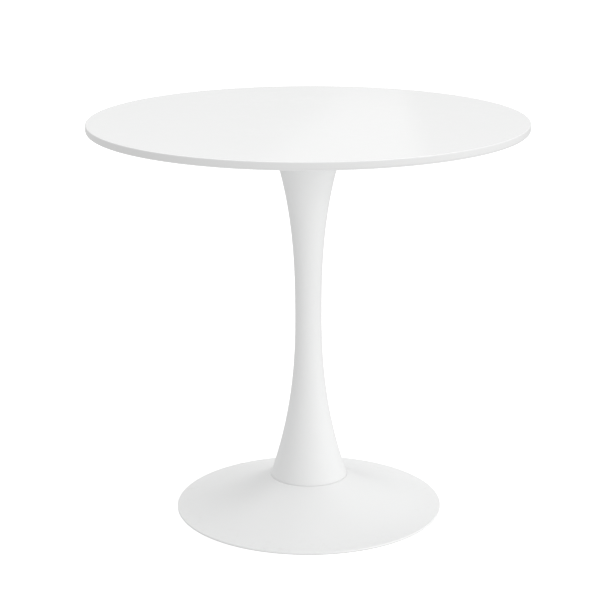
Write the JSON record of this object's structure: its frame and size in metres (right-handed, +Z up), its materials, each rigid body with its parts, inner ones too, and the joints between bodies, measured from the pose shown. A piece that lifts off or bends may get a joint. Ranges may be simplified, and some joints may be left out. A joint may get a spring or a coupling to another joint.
{
  "type": "round pedestal table",
  "caption": "Round pedestal table: thin lacquered disc top on a slim trumpet-shaped steel column that flares into a low domed round base.",
  "frame": {"origin": "on the floor, at the column's axis", "axes": "+Z up along the column; the table is round, so +X and +Y are any two level directions, with -Y towards the viewer"},
  "size_m": [0.7999, 0.8, 0.74],
  "materials": {
    "lacquered_board": "gloss",
    "powder_coat": "satin",
    "zinc_plate": "satin",
    "brass": "satin",
    "cast_iron": "matte",
    "gasket_rubber": "matte",
    "floor_plastic": "matte"
  },
  "bodies": {
    "root": {"tabletop": "lacquered_board", "threaded_inserts": "brass", "mounting_plate": "powder_coat", "plate_collar": "powder_coat", "plate_screws": "zinc_plate", "plate_washers": "zinc_plate", "coupling_nut": "zinc_plate", "mouth_pins": "zinc_plate", "column": "powder_coat", "column_top_ring": "powder_coat", "column_foot_disc": "powder_coat", "foot_gasket": "gasket_rubber", "foot_pins": "zinc_plate", "base_shell": "powder_coat", "crown_plate": "powder_coat", "cast_weight": "cast_iron", "tie_rod": "zinc_plate", "rod_washer": "zinc_plate", "rod_spring_washer": "zinc_plate", "rod_nut": "zinc_plate", "floor_ring": "floor_plastic"}
  },
  "joints": []
}
